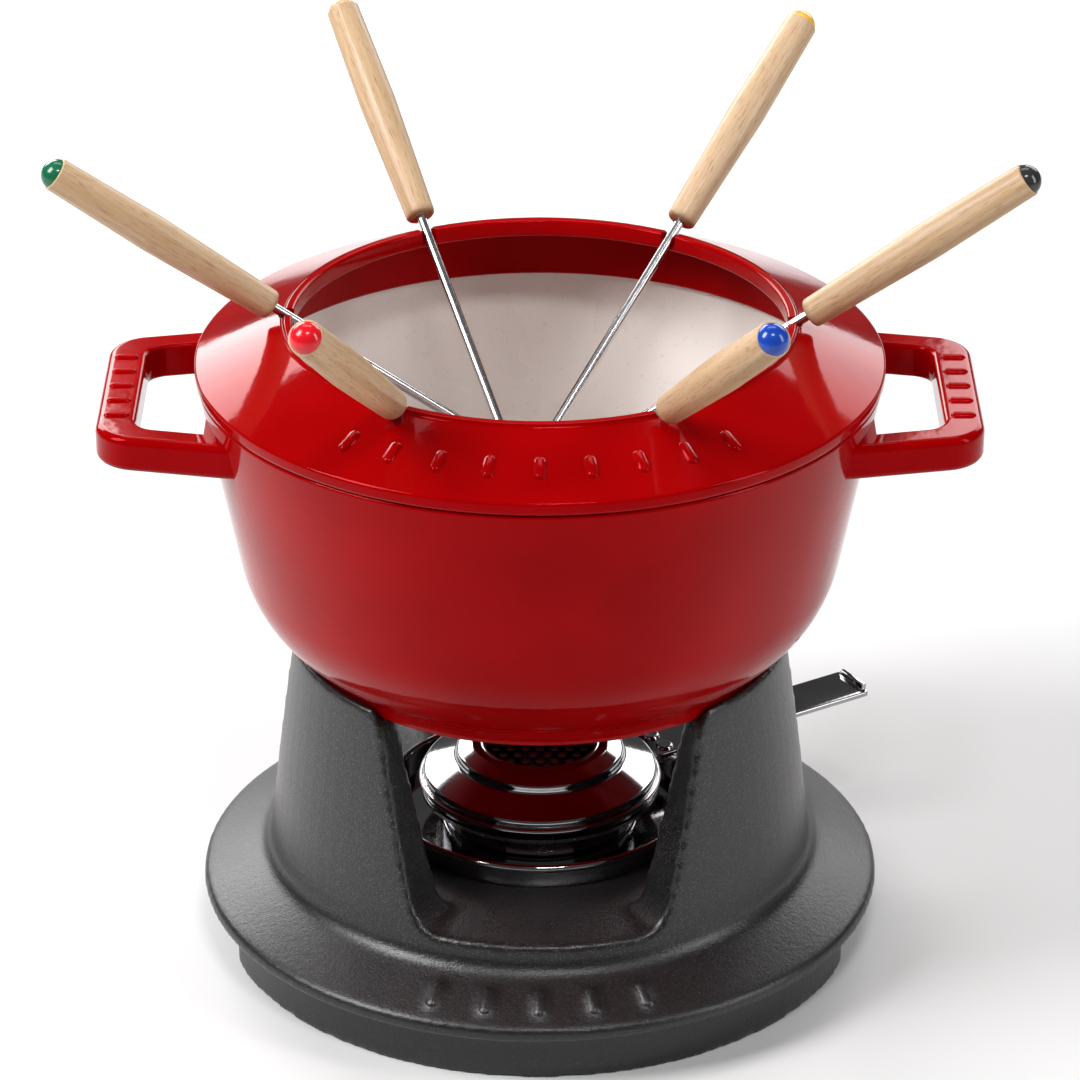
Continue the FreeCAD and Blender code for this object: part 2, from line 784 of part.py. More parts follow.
def rivet_holes(base, thickness):
    holes = []
    for spot in rivet_spots():
        hole = Part.makeCylinder(rivet_radius, thickness, Vec(spot.x, spot.y, base))
        holes.append(spun(hole, lever_azimuth))
    return Part.makeCompound(holes)


def burner_lever():
    half_width = lever_width / 2
    strip = slab([
        (lever_start, -half_width, lever_corner),
        (lever_end, -half_width, lever_corner),
        (lever_end, half_width, lever_corner),
        (lever_start, half_width, lever_corner),
    ], regulator_top, lever_sheet)
    tip_width = lever_width - 2 * lever_corner
    tip = Part.makeBox(lever_sheet, tip_width, lever_tip_rise,
                       Vec(lever_end - lever_sheet, -tip_width / 2, regulator_top + lever_sheet))
    strip = spun(strip.fuse(tip), lever_azimuth)
    return strip.cut(rivet_holes(regulator_top, lever_sheet)).removeSplitter()


def burner_rivets():
    top = regulator_top + lever_sheet
    rivets = []
    for spot in rivet_spots():
        shank = Part.makeCylinder(rivet_radius, top - regulator_base, Vec(0, 0, regulator_base))
        over = turned([
            (0, top, 0),
            (rivet_head_radius, top, 0),
            (rivet_head_radius, top + rivet_head, rivet_head_round),
            (0, top + rivet_head, 0),
        ])
        under = Part.makeCylinder(rivet_head_radius, rivet_head,
                                  Vec(0, 0, regulator_base - rivet_head))
        rivet = shank.fuse([over, under])
        rivet.translate(spot)
        rivets.append(spun(rivet, lever_azimuth))
    return Part.makeCompound(rivets)


def all_nodes():
    nodes = {
        "stand": stand(),
        "pot": pot(),
        "splash_ring": splash_ring(),
        "burner_tray": burner_tray(),
        "burner_cup": burner_cup(),
        "burner_retainer": burner_retainer(),
        "burner_wadding": burner_wadding(),
        "burner_gauze": burner_gauze(),
        "burner_hood": burner_hood(),
        "burner_regulator": burner_regulator(),
        "burner_lever": burner_lever(),
        "burner_rivets": burner_rivets(),
    }
    makers = {"shaft": fork_shaft, "handle": fork_handle, "button": fork_button}
    for index in range(fork_count):
        place = fork_placement(index).toMatrix()
        for kind, make in makers.items():
            nodes[f"fork_{index + 1}_{kind}"] = make().transformed(place)
    return nodes


os.makedirs("parts", exist_ok=True)
for name, shape in all_nodes().items():
    shape.exportStep(f"parts/{name}.step")
    print(name, shape.isValid(), len(shape.Solids), round(shape.Volume / 1000, 1))
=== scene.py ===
import bpy
import json
from math import atan2, cos, hypot, pi, radians, sin, tan
from mathutils import Matrix, Vector


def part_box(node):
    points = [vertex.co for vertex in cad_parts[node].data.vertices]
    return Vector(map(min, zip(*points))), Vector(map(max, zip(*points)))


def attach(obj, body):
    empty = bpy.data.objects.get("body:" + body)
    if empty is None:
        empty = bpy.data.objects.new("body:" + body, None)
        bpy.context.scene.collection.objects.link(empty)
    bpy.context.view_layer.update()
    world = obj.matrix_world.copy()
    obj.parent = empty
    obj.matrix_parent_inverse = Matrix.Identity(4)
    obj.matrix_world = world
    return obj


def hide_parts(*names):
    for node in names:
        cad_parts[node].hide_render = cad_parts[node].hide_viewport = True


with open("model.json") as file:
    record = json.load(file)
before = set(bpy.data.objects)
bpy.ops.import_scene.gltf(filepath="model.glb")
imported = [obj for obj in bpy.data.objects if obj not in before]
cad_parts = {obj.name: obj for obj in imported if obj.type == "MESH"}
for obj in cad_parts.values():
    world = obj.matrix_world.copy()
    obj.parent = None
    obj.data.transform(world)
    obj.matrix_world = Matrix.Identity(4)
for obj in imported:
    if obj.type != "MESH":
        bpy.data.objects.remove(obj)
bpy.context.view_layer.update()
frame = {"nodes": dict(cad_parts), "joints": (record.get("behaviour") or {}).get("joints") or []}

nodes = frame["nodes"]
mm = 0.001

# the plain view curve keeps the enamel's red saturated
bpy.context.scene.view_settings.view_transform = "Standard"


class Socket:
    # a node's output, so that shader maths can be written as an expression
    def __init__(self, graph, output):
        self.graph = graph
        self.output = output

    def maths(self, operation, first, second=None):
        values = {0: first} if second is None else {0: first, 1: second}
        return self.graph.node("ShaderNodeMath", {"operation": operation}, values)

    def __add__(self, other):
        return self.maths("ADD", self, other)

    def __radd__(self, other):
        return self.maths("ADD", other, self)

    def __sub__(self, other):
        return self.maths("SUBTRACT", self, other)

    def __rsub__(self, other):
        return self.maths("SUBTRACT", other, self)

    def __mul__(self, other):
        return self.maths("MULTIPLY", self, other)

    def __rmul__(self, other):
        return self.maths("MULTIPLY", other, self)

    def __pow__(self, other):
        return self.maths("POWER", self, other)

    def clamped(self, low, high):
        # 0 below low, 1 above high and a straight ramp between
        ramp = {"Value": self, "From Min": low, "From Max": high, "To Min": 0.0, "To Max": 1.0}
        return self.graph.node("ShaderNodeMapRange", {"clamp": True}, ramp)


class Graph:
    # a material's node tree, with one short call for each kind of node
    def __init__(self, name):
        self.material = bpy.data.materials.new(name)
        self.material.use_nodes = True
        self.tree = self.material.node_tree
        self.tree.nodes.clear()

    def node(self, kind, settings, values, output=0):
        made = self.tree.nodes.new(kind)
        for key, value in settings.items():
            setattr(made, key, value)
        for key, value in values.items():
            if isinstance(value, Socket):
                self.tree.links.new(value.output, made.inputs[key])
            else:
                made.inputs[key].default_value = value
        return Socket(self, made.outputs[output])

    def place(self):
        return self.node("ShaderNodeTexCoord", {}, {}, "Object")

    def attribute(self, name):
        return self.node("ShaderNodeAttribute", {"attribute_name": name}, {}, "Vector")

    def axes(self, vector):
        return [self.node("ShaderNodeSeparateXYZ", {}, {0: vector}, axis) for axis in "XYZ"]

    def stretched(self, vector, scale):
        return self.node("ShaderNodeVectorMath", {"operation": "MULTIPLY"}, {0: vector, 1: scale})

    def noise(self, vector, scale, detail=3.0, roughness=0.5, distortion=0.0):
        values = {"Vector": vector, "Scale": scale, "Detail": detail, "Roughness": roughness,
                  "Distortion": distortion}
        return self.node("ShaderNodeTexNoise", {}, values, 0)

    def mix(self, factor, first, second):
        values = {0: factor, 6: (*first, 1.0) if isinstance(first, tuple) else first,
                  7: (*second, 1.0) if isinstance(second, tuple) else second}
        return self.node("ShaderNodeMix", {"data_type": "RGBA"}, values, 2)

    def bump(self, height, distance, strength=1.0, below=None):
        values = {"Height": height, "Distance": distance, "Strength": strength}
        if below is not None:
            values["Normal"] = below
        return self.node("ShaderNodeBump", {}, values)

    def surface(self, values):
        shader = self.node("ShaderNodeBsdfPrincipled", {}, values)
        end = self.tree.nodes.new("ShaderNodeOutputMaterial")
        self.tree.links.new(shader.output, end.inputs["Surface"])
        return self.material


def makeRedEnamel():
    graph = Graph("redEnamel")
    place = graph.place()
    pool = graph.noise(place, 22.0, 2.0)
    peel = graph.noise(place, 150.0, 2.0)
    grain = graph.noise(place, 700.0, 2.0)
    waves = graph.bump(peel, 0.00022, 0.22)
    normal = graph.bump(grain, 0.00003, 0.2, waves)
    depth = pool.clamped(0.35, 0.68)
    return graph.surface({
        "Base Color": graph.mix(depth, (0.27, 0.0003, 0.0008), (0.34, 0.0005, 0.0014)),
        "Roughness": 0.05 + 0.06 * pool,
        "Specular IOR Level": 0.40,
        "Specular Tint": (1.0, 0.12, 0.15, 1.0),
        "IOR": 1.36,
        "Normal": normal,
    })


def makeCreamEnamel():
    graph = Graph("creamEnamel")
    place = graph.place()
    height = graph.axes(place)[2]
    pool = graph.noise(place, 30.0, 3.0)
    fleck = graph.noise(place, 900.0, 1.0).clamped(0.68, 0.74)
    # painted shade: the lining is darkened towards the pot's floor, where shade falls inside the pot
    paintedShade = 1.0 - height.clamped(106 * mm, 140 * mm)
    base = graph.mix(pool, (0.80, 0.745, 0.70), (0.87, 0.825, 0.79))
    shadedLining = graph.mix(paintedShade * 0.35, base, (0.62, 0.53, 0.46))
    return graph.surface({
        "Base Color": graph.mix(fleck * 0.25, shadedLining, (0.45, 0.38, 0.32)),
        "Roughness": 0.22 + 0.14 * pool,
        "Specular IOR Level": 0.45,
        "Normal": graph.bump(graph.noise(place, 160.0, 2.0), 0.0002, 0.3),
    })


def makeCastIron():
    graph = Graph("castIronBlack")
    place = graph.place()
    flange = 1.0 - graph.axes(place)[2].clamped(27 * mm, 34 * mm)
    grit = graph.noise(place, 1500.0, 3.0, 0.65)
    sand = graph.noise(place, 620.0, 2.0, 0.5)
    cloud = graph.noise(place, 26.0, 3.0)
    # painted glints: bright flecks painted into the base colour stand in for sparkle highlights, fewer
    # on the flange
    paintedGlint = graph.noise(place, 3000.0, 1.0).clamped(0.60, 0.70)
    pits = graph.bump(sand, 0.00020, 0.45)
    normal = graph.bump(grit, 0.00014, 0.8, pits)
    base = graph.mix(cloud, (0.0050, 0.0045, 0.0048), (0.0100, 0.0091, 0.0096))
    return graph.surface({
        "Base Color": graph.mix(paintedGlint * 0.6 * (1.0 - 0.6 * flange), base, (0.16, 0.155, 0.16)),
        "Roughness": 0.24 + 0.08 * cloud + 0.06 * flange,
        "Specular IOR Level": 0.55,
        "Normal": normal,
    })


def makeChrome():
    graph = Graph("polishedSteel")
    place = graph.place()
    x, y = graph.axes(place)[:2]
    turned = ((x * x + y * y) ** 0.5) * 2600.0
    lines = graph.node("ShaderNodeMath", {"operation": "SINE"}, {0: turned})
    smear = graph.noise(place, 55.0, 4.0)
    return graph.surface({
        "Base Color": graph.mix(smear, (0.34, 0.33, 0.34), (0.47, 0.46, 0.47)),
        "Metallic": 1.0,
        "Roughness": 0.045 + 0.09 * smear,
        "Normal": graph.bump(lines, 0.000004, 0.3),
    })


def makeSatinSteel():
    graph = Graph("satinSteel")
    place = graph.place()
    drawn = graph.noise(place, 900.0, 3.0)
    smear = graph.noise(place, 60.0, 3.0)
    return graph.surface({
        "Base Color": graph.mix(smear, (0.46, 0.46, 0.47), (0.66, 0.66, 0.67)),
        "Metallic": 1.0,
        "Roughness": 0.16 + 0.16 * drawn,
        "Normal": graph.bump(drawn, 0.00002, 0.3),
    })


def makeWood():
    graph = Graph("handleWood")
    grain = graph.attribute("grain")
    fibres = graph.noise(graph.stretched(grain, (1900.0, 1900.0, 55.0)), 1.0, 3.0, 0.6)
    pores = graph.noise(graph.stretched(grain, (2600.0, 2600.0, 210.0)), 1.0, 1.0)
    bands = graph.noise(graph.stretched(grain, (260.0, 420.0, 9.0)), 1.0, 2.0, 0.5, 0.6)
    pale = graph.mix(bands.clamped(0.34, 0.66), (0.47, 0.305, 0.165), (0.62, 0.435, 0.27))
    lined = graph.mix(fibres.clamped(0.45, 0.72) * 0.55, pale, (0.47, 0.255, 0.105))
    flecked = graph.mix(pores.clamped(0.60, 0.68) * 0.55, lined, (0.30, 0.145, 0.055))
    # darker towards the grip's end where the shaft goes in
    shaftEndDark = 1.0 - graph.axes(grain)[2].clamped(6.4 * mm, 8.6 * mm)
    return graph.surface({
        "Base Color": graph.mix(shaftEndDark * 0.55, flecked, (0.20, 0.095, 0.035)),
        "Roughness": 0.34 + 0.22 * fibres,
        "Specular IOR Level": 0.45,
        "Coat Weight": 0.12,
        "Coat Roughness": 0.2,
        "Normal": graph.bump(fibres - pores * 0.6, 0.00012, 0.35),
    })


def makeDome(name, dark, light):
    graph = Graph(name)
    place = graph.place()
    tint = graph.noise(place, 260.0, 2.0)
    return graph.surface({
        "Base Color": graph.mix(tint, dark, light),
        "Roughness": 0.12 + 0.10 * tint,
        "Specular IOR Level": 0.5,
        "Normal": graph.bump(graph.noise(place, 500.0, 1.0), 0.00006, 0.25),
    })


def makeWadding():
    graph = Graph("mineralWadding")
    place = graph.place()
    strands = graph.noise(place, 420.0, 5.0, 0.7, 1.2)
    return graph.surface({
        "Base Color": graph.mix(strands, (0.52, 0.48, 0.42), (0.86, 0.83, 0.76)),
        "Roughness": 0.8 + 0.15 * strands,
        "Normal": graph.bump(strands, 0.0012, 0.8),
    })


redEnamel = makeRedEnamel()
creamEnamel = makeCreamEnamel()
castIron = makeCastIron()
chrome = makeChrome()
satinSteel = makeSatinSteel()
wood = makeWood()
wadding = makeWadding()
domes = {
    1: makeDome("domeBlack", (0.018, 0.018, 0.019), (0.040, 0.039, 0.040)),
    2: makeDome("domeYellow", (0.78, 0.36, 0.03), (0.90, 0.50, 0.07)),
    3: makeDome("domeNatural", (0.50, 0.29, 0.13), (0.74, 0.50, 0.29)),
    4: makeDome("domeGreen", (0.004, 0.085, 0.035), (0.010, 0.150, 0.065)),
    5: makeDome("domeRed", (0.60, 0.004, 0.010), (0.78, 0.012, 0.022)),
    6: makeDome("domeBlue", (0.004, 0.035, 0.30), (0.012, 0.075, 0.48)),
}
print("materials made")


def deselectAll():
    if bpy.context.object and bpy.context.object.mode != "OBJECT":
        bpy.ops.object.mode_set(mode="OBJECT")
    bpy.ops.object.select_all(action="DESELECT")
    bpy.context.tool_settings.mesh_select_mode = (True, False, False)


def makeActive(piece):
    deselectAll()
    piece.select_set(True)
    bpy.context.view_layer.objects.active = piece


def pick(parts, kind, wanted):
    # opens edit mode with only the wanted vertices, edges or faces selected
    bpy.ops.object.mode_set(mode="EDIT")
    bpy.ops.mesh.select_mode(type=kind)
    bpy.ops.mesh.select_all(action="DESELECT")
    bpy.ops.object.mode_set(mode="OBJECT")
    for part in parts:
        part.select = wanted(part)
    bpy.ops.object.mode_set(mode="EDIT")


def rounded(corners, segments=7):
    # an open line of (radius, height, rounding) corners, each rounding as an arc
    line = []
    last = len(corners) - 1
    for i, (r, z, rounding) in enumerate(corners):
        here = Vector((r, z))
        if rounding == 0 or i in (0, last):
            line.append(here)
            continue
        back = (Vector(corners[i - 1][:2]) - here).normalized()
        ahead = (Vector(corners[i + 1][:2]) - here).normalized()
        half = back.angle(ahead) / 2
        centre = here + (back + ahead).normalized() * (rounding / sin(half))
        start = here + back * (rounding / tan(half)) - centre
        sweep = start.angle_signed(here + ahead * (rounding / tan(half)) - centre)
        for step in range(segments + 1):
            turn = Matrix.Rotation(-sweep * step / segments, 2)
            line.append(centre + turn @ start)
    return line


def lathe(name, corners, steps, segments=7):
    # the section is drawn vertex by vertex and spun about the upright axis
    line = rounded(corners, segments)
    deselectAll()
    bpy.ops.mesh.primitive_plane_add(size=0.01)
    piece = bpy.context.object
    piece.name = name
    bpy.ops.object.mode_set(mode="EDIT")
    bpy.ops.mesh.merge(type="CENTER")
    bpy.ops.transform.translate(value=(line[0].x, 0, line[0].y))
    for start, end in zip(line, line[1:]):
        step = end - start
        bpy.ops.mesh.extrude_region_move(TRANSFORM_OT_translate={"value": (step.x, 0, step.y)})
    bpy.ops.mesh.select_all(action="SELECT")
    bpy.ops.mesh.remove_doubles(threshold=0.001 * mm)
    bpy.ops.mesh.spin(steps=steps, angle=2 * pi, center=(0, 0, 0), axis=(0, 0, 1))
    bpy.ops.mesh.select_all(action="SELECT")
    bpy.ops.mesh.remove_doubles(threshold=0.002 * mm)
    bpy.ops.mesh.normals_make_consistent(inside=False)
    bpy.ops.object.mode_set(mode="OBJECT")
    bpy.ops.object.shade_smooth_by_angle(angle=radians(42))
    return piece


def finishPiece(piece, material, body, slot, *replaced):
    piece.data.materials.clear()
    piece.data.materials.append(material)
    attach(piece, body)
    if replaced:
        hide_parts(*replaced)


def makeBead(radius, length):
    # a round-ended bar along X: a ball whose two halves are drawn apart
    deselectAll()
    bpy.ops.mesh.primitive_uv_sphere_add(segments=24, ring_count=13, radius=radius,
                                         rotation=(0, pi / 2, 0))
    bead = bpy.context.object
    bpy.ops.object.transform_apply(location=True, rotation=True, scale=True)
    for side in (-1, 1):
        pick(bead.data.vertices, "VERT", lambda vertex: vertex.co.x * side > 0)
        bpy.ops.transform.translate(value=(side * (length / 2 - radius), 0, 0))
        bpy.ops.object.mode_set(mode="OBJECT")
    bpy.ops.object.shade_smooth()
    return bead


def beadArc(name, size, middleRadius, middleHeight, fall):
    # beads in an arc at the front, sunk in a cone that drops by fall for each metre out
    slope = atan2(fall, 1)
    sink = size["radius"] - size["proud"]
    middle = Vector((middleRadius - sink * sin(slope), 0, middleHeight - sink * cos(slope)))
    beads = []
    for i in range(size["count"]):
        bead = makeBead(size["radius"], size["length"])
        azimuth = radians(-90 + (i - (size["count"] - 1) / 2) * size["pitch"])
        turn = Matrix.Rotation(azimuth, 4, "Z") @ Matrix.Translation(middle)
        bead.matrix_world = turn @ Matrix.Rotation(slope, 4, "Y")
        bpy.ops.object.transform_apply(location=True, rotation=True, scale=True)
        beads.append(bead)
    deselectAll()
    for bead in beads:
        bead.select_set(True)
    bpy.context.view_layer.objects.active = beads[0]
    bpy.ops.object.join()
    beads[0].name = name
    return beads[0]


def copyOfNode(node, name):
    # a new object with the node's mesh, whose loose triangles are merged
    piece = bpy.data.objects.new(name, nodes[node].data.copy())
    bpy.context.scene.collection.objects.link(piece)
    makeActive(piece)
    bpy.ops.object.mode_set(mode="EDIT")
    bpy.ops.mesh.select_all(action="SELECT")
    bpy.ops.mesh.remove_doubles(threshold=0.004 * mm)
    bpy.ops.mesh.customdata_custom_splitnormals_clear()
    bpy.ops.mesh.normals_make_consistent(inside=False)
    bpy.ops.object.mode_set(mode="OBJECT")
    return piece


def paint(node, material):
    for holder in nodes[node].material_slots:
        holder.material = material


# the stand is a sand casting, so every edge of the exact shape is softened
stand = {
    "voxel": 1.25 * mm,
    "softening": 7,
    "flangeRadius": 106.1 * mm,
    "flangeTop": 19.6 * mm,
    "creaseRadius": 84.8 * mm,
    "creaseHeight": 28.6 * mm,
    "beadInset": 9.65 * mm,
    "beads": {"count": 5, "pitch": 9.5, "radius": 3.0 * mm, "length": 11.5 * mm, "proud": 1.35 * mm},
}


def makeStand():
    piece = copyOfNode("stand", "castStand")
    remesh = piece.modifiers.new("cast", "REMESH")
    remesh.mode = "VOXEL"
    remesh.voxel_size = stand["voxel"]
    soften = piece.modifiers.new("soften", "SMOOTH")
    soften.factor = 0.5
    soften.iterations = stand["softening"]
    bpy.ops.object.modifier_apply(modifier="cast")
    bpy.ops.object.modifier_apply(modifier="soften")
    bpy.ops.object.shade_smooth()
    finishPiece(piece, castIron, "stand", "cast_iron_black", "stand")
    return piece


def makeStandBeads():
    edge, crease = stand["flangeRadius"], stand["creaseRadius"]
    fall = (stand["creaseHeight"] - stand["flangeTop"]) / (edge - crease)
    piece = beadArc("standBeads", stand["beads"], edge - stand["beadInset"],
                    stand["flangeTop"] + fall * stand["beadInset"], fall)
    finishPiece(piece, castIron, "stand", "cast_iron_black")
    return piece


castStand = makeStand()
standBeads = makeStandBeads()
print("stand made")

# the pot is spun in red, with a thin cream lining, and its handles come from the exact shape
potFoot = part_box("pot")[0].z
pot = {
    "rimRadius": 103.5 * mm,
    "rimHeight": potFoot + 90.1 * mm,
    "rimRound": 1.0 * mm,
    "taper": 0.195,
    "footRadius": 73.6 * mm,
    "footWidth": 6.0 * mm,
    "footRecess": 2.6 * mm,
    "footRound": 0.8 * mm,
    "creaseRadius": 74.8 * mm,
    "creaseHeight": potFoot + 4.6 * mm,
    "bellySlope": radians(53.5),
    "bellyRadius": 42.0 * mm,
    "floorHeight": potFoot + 7.3 * mm,
    "floorRound": 18.0 * mm,
    "wall": 4.0 * mm,
    "enamel": 0.10 * mm,
    "enamelGap": 0.04 * mm,
    "topGap": 0.8 * mm,
    "steps": 224,
}


def bellyCorner():
    lean = pot["bellySlope"]
    crease = Vector((pot["creaseRadius"], pot["creaseHeight"]))
    gap = pot["rimRadius"] - pot["taper"] * (pot["rimHeight"] - crease.y) - crease.x
    run = gap / (sin(lean) - pot["taper"] * cos(lean))
    return crease + run * Vector((sin(lean), cos(lean)))


def insideLine(depth, topGap=0.0):
    # the pot's inside, depth inside the outer surface of its wall
    lean = pot["bellySlope"]
    wallLean = atan2(pot["taper"], 1)
    bellySide = Vector((-cos(lean), sin(lean)))
    wallSide = Vector((-cos(wallLean), sin(wallLean)))
    corner = bellyCorner() + (bellySide + wallSide) * (depth / (1 + bellySide.dot(wallSide)))
    floor = pot["floorHeight"] + depth - pot["wall"]
    top = pot["rimHeight"] - topGap
    return [
        (0, floor, 0),
        (corner.x - (corner.y - floor) * tan(lean), floor, pot["floorRound"]),
        (corner.x, corner.y, pot["bellyRadius"] - depth),
        (corner.x + (top - corner.y) * pot["taper"], top, 0),
    ]


def makePotBody():
    footInside = pot["footRadius"] - pot["footWidth"]
    recess = potFoot + pot["footRecess"]
    outline = [
        (0, recess, 0),
        (footInside, recess, pot["footRound"]),
        (footInside, potFoot, pot["footRound"]),
        (pot["footRadius"], potFoot, pot["footRound"]),
        (pot["creaseRadius"], pot["creaseHeight"], 0),
        (*bellyCorner(), pot["bellyRadius"]),
        (pot["rimRadius"], pot["rimHeight"], pot["rimRound"]),
    ]
    inside = insideLine(pot["wall"])
    piece = lathe("potBody", outline + inside[::-1], pot["steps"], segments=14)
    finishPiece(piece, redEnamel, "pot", "enamel_red", "pot")
    return piece


def onWall(point):
    # true on the pot's spun surfaces, false on the handles that stand out from them
    radius = hypot(point.x, point.y)
    wall = pot["rimRadius"] - pot["taper"] * (pot["rimHeight"] - point.z)
    return radius < wall + 0.02 * mm


def makeHandles():
    # the loops of the exact shape, without the wall that they grow from
    piece = copyOfNode("pot", "potHandles")
    pick(piece.data.polygons, "FACE", lambda face: (
        all(onWall(piece.data.vertices[i].co) for i in face.vertices)))
    bpy.ops.mesh.delete(type="FACE")
    bpy.ops.mesh.select_all(action="SELECT")
    bpy.ops.mesh.delete_loose()
    bpy.ops.object.mode_set(mode="OBJECT")
    bpy.ops.object.shade_smooth_by_angle(angle=radians(35))
    weigh = piece.modifiers.new("weigh", "WEIGHTED_NORMAL")
    weigh.keep_sharp = True
    bpy.ops.object.modifier_apply(modifier="weigh")
    finishPiece(piece, redEnamel, "pot", "enamel_red")
    return piece


def makeLining():
    near = insideLine(pot["wall"] + pot["enamelGap"], pot["topGap"])
    far = insideLine(pot["wall"] + pot["enamelGap"] + pot["enamel"], pot["topGap"])
    outline = [(p.x, p.y, 0) for p in rounded(near, 14)]
    outline += [(p.x, p.y, 0) for p in reversed(rounded(far, 14))]
    piece = lathe("potLining", outline, pot["steps"])
    finishPiece(piece, creamEnamel, "pot", "enamel_red")
    return piece


potHandles = makeHandles()
potBody = makePotBody()
potLining = makeLining()
print("pot made")

# a grip is turned once, then copied with its own grain; heights are along the fork from its notch
fork = {
    "count": 6,
    "ringTurn": radians(-2.4),
    "mouthMiddle": 75.8 * mm,
    "shaftDrop": 1.45 * mm,
    "shaftRadius": 1.5 * mm,
    "reach": 6.2 * mm,
    "length": 79.0 * mm,
    "endRadius": 4.6 * mm,
    "middleRadius": 5.75 * mm,
    "tipRadius": 5.15 * mm,
    "endRound": 1.2 * mm,
    "tipRound": 0.5 * mm,
    "swell": 0.55,
    "tang": 34.0 * mm,
    "stemRadius": 2.0 * mm,
    "stemLength": 7.0 * mm,
    "fit": 0.02 * mm,
    "holeRound": 0.2 * mm,
    "middleRound": 90.0 * mm,
    "grainShift": (31 * mm, 17 * mm, 0),
    "steps": 48,
}

# the splash ring is spun, then a slanting notch is cut for each fork
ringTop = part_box("splash_ring")[1].z
ring = {
    "seat": pot["rimHeight"] + 0.2 * mm,
    "radius": 104.0 * mm,
    "edge": 4.0 * mm,
    "edgeRound": 1.3 * mm,
    "mouthRadius": 74.2 * mm,
    "lipWidth": 3.2 * mm,
    "lipLean": 0.3 * mm,
    "lipDepth": 5.4 * mm,
    "lipStep": 1.0 * mm,
    "lipRound": 0.9 * mm,
    "plate": 3.6 * mm,
    "skirtDepth": 10.0 * mm,
    "skirtWall": 3.2 * mm,
    "skirtGap": 0.8 * mm,
    "fillet": 2.0 * mm,
    "notchRadius": 2.6 * mm,
    "notchGap": 0.35 * mm,
    "notchLength": 24.0 * mm,
    "beadInset": 12.5 * mm,
    "beads": {"count": 9, "pitch": 9.2, "radius": 2.3 * mm, "length": 9.5 * mm, "proud": 1.1 * mm},
    "steps": 288,
}
ring["coneFall"] = ((ringTop - ring["lipStep"] - ring["seat"] - ring["edge"])
                    / (ring["radius"] - ring["mouthRadius"] - ring["lipWidth"]))


def ringCorners():
    skirtOuter = pot["rimRadius"] - pot["wall"] - ring["skirtGap"]
    skirtInner = skirtOuter - ring["skirtWall"]
    skirtTaper = ring["skirtDepth"] * pot["taper"]
    edgeTop = ring["seat"] + ring["edge"]
    underSkirt = (edgeTop + ring["coneFall"] * (ring["radius"] - skirtInner)
                  - ring["plate"] * hypot(ring["coneFall"], 1))
    coneTop = ring["mouthRadius"] + ring["lipWidth"]
    lipOuter = coneTop - ring["lipLean"]
    skirtFoot = ring["seat"] - ring["skirtDepth"]
    return [
        (ring["radius"], (ring["seat"] + edgeTop) / 2, 0),
        (ring["radius"], edgeTop, ring["edgeRound"]),
        (coneTop, ringTop - ring["lipStep"], ring["fillet"]),
        (lipOuter, ringTop, ring["lipRound"]),
        (ring["mouthRadius"], ringTop, ring["lipRound"]),
        (ring["mouthRadius"], ringTop - ring["lipDepth"], ring["lipRound"]),
        (lipOuter, ringTop - ring["lipDepth"], ring["lipRound"]),
        (skirtInner, underSkirt, ring["fillet"]),
        (skirtInner - skirtTaper, skirtFoot, ring["lipRound"]),
        (skirtOuter - skirtTaper, skirtFoot, ring["lipRound"]),
        (skirtOuter, ring["seat"], 0),
        (ring["radius"], ring["seat"], ring["edgeRound"]),
        (ring["radius"], (ring["seat"] + edgeTop) / 2, 0),
    ]


def forkAxis(index):
    found = [joint for joint in frame["joints"] if joint["name"] == f"fork_{index + 1}_draw"]
    return Vector(found[0]["axis"]).normalized()


def notchAzimuth(index):
    return fork["ringTurn"] + index * 2 * pi / fork["count"]


def notchPlace(index):
    # the point on the fork's axis in the middle of the ring's lip
    azimuth = notchAzimuth(index)
    return Vector((fork["mouthMiddle"] * cos(azimuth), fork["mouthMiddle"] * sin(azimuth),
                   ringTop - fork["shaftDrop"]))


def cutNotch(piece, index):
    # a round-bottomed trough along the fork's own slope, open at the top
    axis = forkAxis(index)
    slope = atan2(axis.z, hypot(axis.x, axis.y))
    lift = ring["notchRadius"] - fork["shaftRadius"] - ring["notchGap"]
    deselectAll()
    bpy.ops.mesh.primitive_cylinder_add(vertices=40, radius=ring["notchRadius"],
                                        depth=ring["notchLength"], location=(-lift, 0, 0))
    tool = bpy.context.object
    bpy.ops.object.transform_apply(location=True, rotation=True, scale=True)
    bpy.ops.object.mode_set(mode="EDIT")
    bpy.ops.mesh.select_all(action="SELECT")
    bpy.ops.mesh.bisect(plane_co=(-lift, 0, 0), plane_no=(1, 0, 0), use_fill=True, clear_inner=True)
    bpy.ops.mesh.extrude_region_move(TRANSFORM_OT_translate={"value": (-3 * ring["notchRadius"], 0, 0)})
    bpy.ops.mesh.select_all(action="SELECT")
    bpy.ops.mesh.normals_make_consistent(inside=False)
    bpy.ops.object.mode_set(mode="OBJECT")
    turn = Matrix.Rotation(notchAzimuth(index), 4, "Z") @ Matrix.Rotation(pi / 2 - slope, 4, "Y")
    tool.matrix_world = Matrix.Translation(notchPlace(index)) @ turn
    makeActive(piece)
    notch = piece.modifiers.new("notch", "BOOLEAN")
    notch.operation = "DIFFERENCE"
    notch.solver = "EXACT"
    notch.object = tool
    bpy.ops.object.modifier_apply(modifier="notch")
    bpy.data.objects.remove(tool)


def makeRing():
    piece = lathe("splashRing", ringCorners(), ring["steps"])
    for index in range(fork["count"]):
        cutNotch(piece, index)
    bpy.ops.object.shade_smooth_by_angle(angle=radians(38))
    finishPiece(piece, redEnamel, "splash_ring", "enamel_red", "splash_ring")
    return piece


def makeRingBeads():
    height = ring["seat"] + ring["edge"] + ring["coneFall"] * ring["beadInset"]
    piece = beadArc("ringBeads", ring["beads"], ring["radius"] - ring["beadInset"], height,
                    ring["coneFall"])
    finishPiece(piece, redEnamel, "splash_ring", "enamel_red")
    return piece


